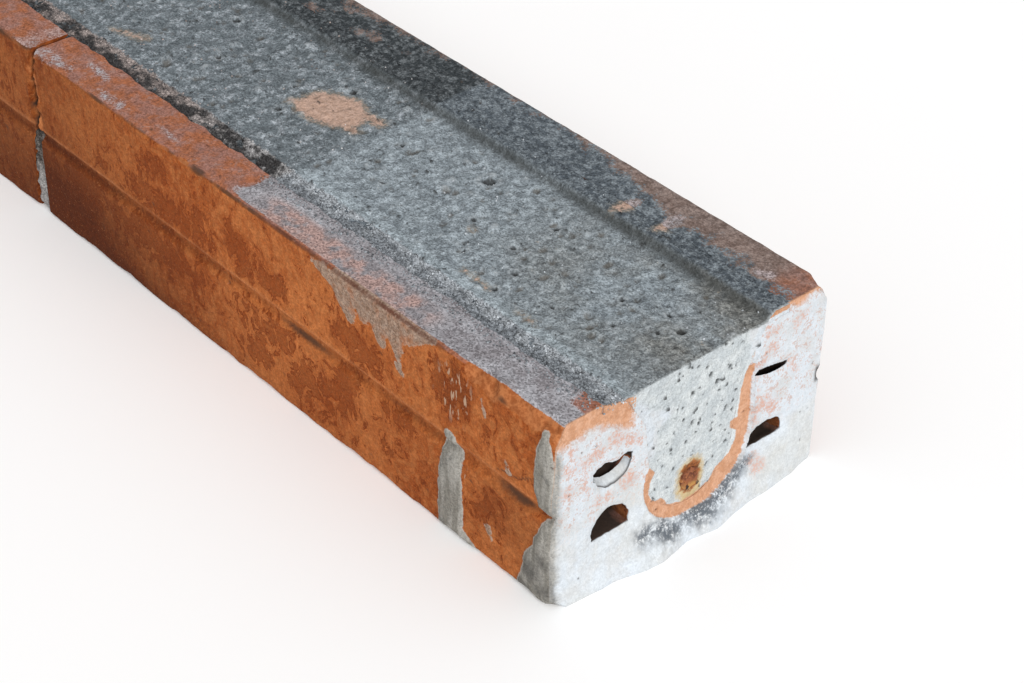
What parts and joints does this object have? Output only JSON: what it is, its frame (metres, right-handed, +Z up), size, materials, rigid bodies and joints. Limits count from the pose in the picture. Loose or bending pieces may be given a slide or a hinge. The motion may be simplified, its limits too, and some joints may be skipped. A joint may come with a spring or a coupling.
{
  "type": "brick lintel",
  "caption": "Flat lintel of U-shaped fired-clay shells laid end to end and filled with concrete round a steel bar; it carries brickwork over an opening.",
  "frame": {"origin": "middle of the underside, which the lintel lies on", "axes": "+X along the lintel towards the skimmed end that the picture shows, +Y across it, +Z up towards the concrete-filled trough"},
  "size_m": [1, 0.115, 0.071],
  "materials": {
    "fired_clay": "matte",
    "concrete": "matte",
    "bar_steel": "matte"
  },
  "bodies": {
    "root": {"clay_shell_1": "fired_clay", "clay_shell_2": "fired_clay", "clay_shell_3": "fired_clay", "clay_shell_4": "fired_clay", "concrete_core": "concrete", "reinforcing_bar": "bar_steel"}
  },
  "joints": []
}
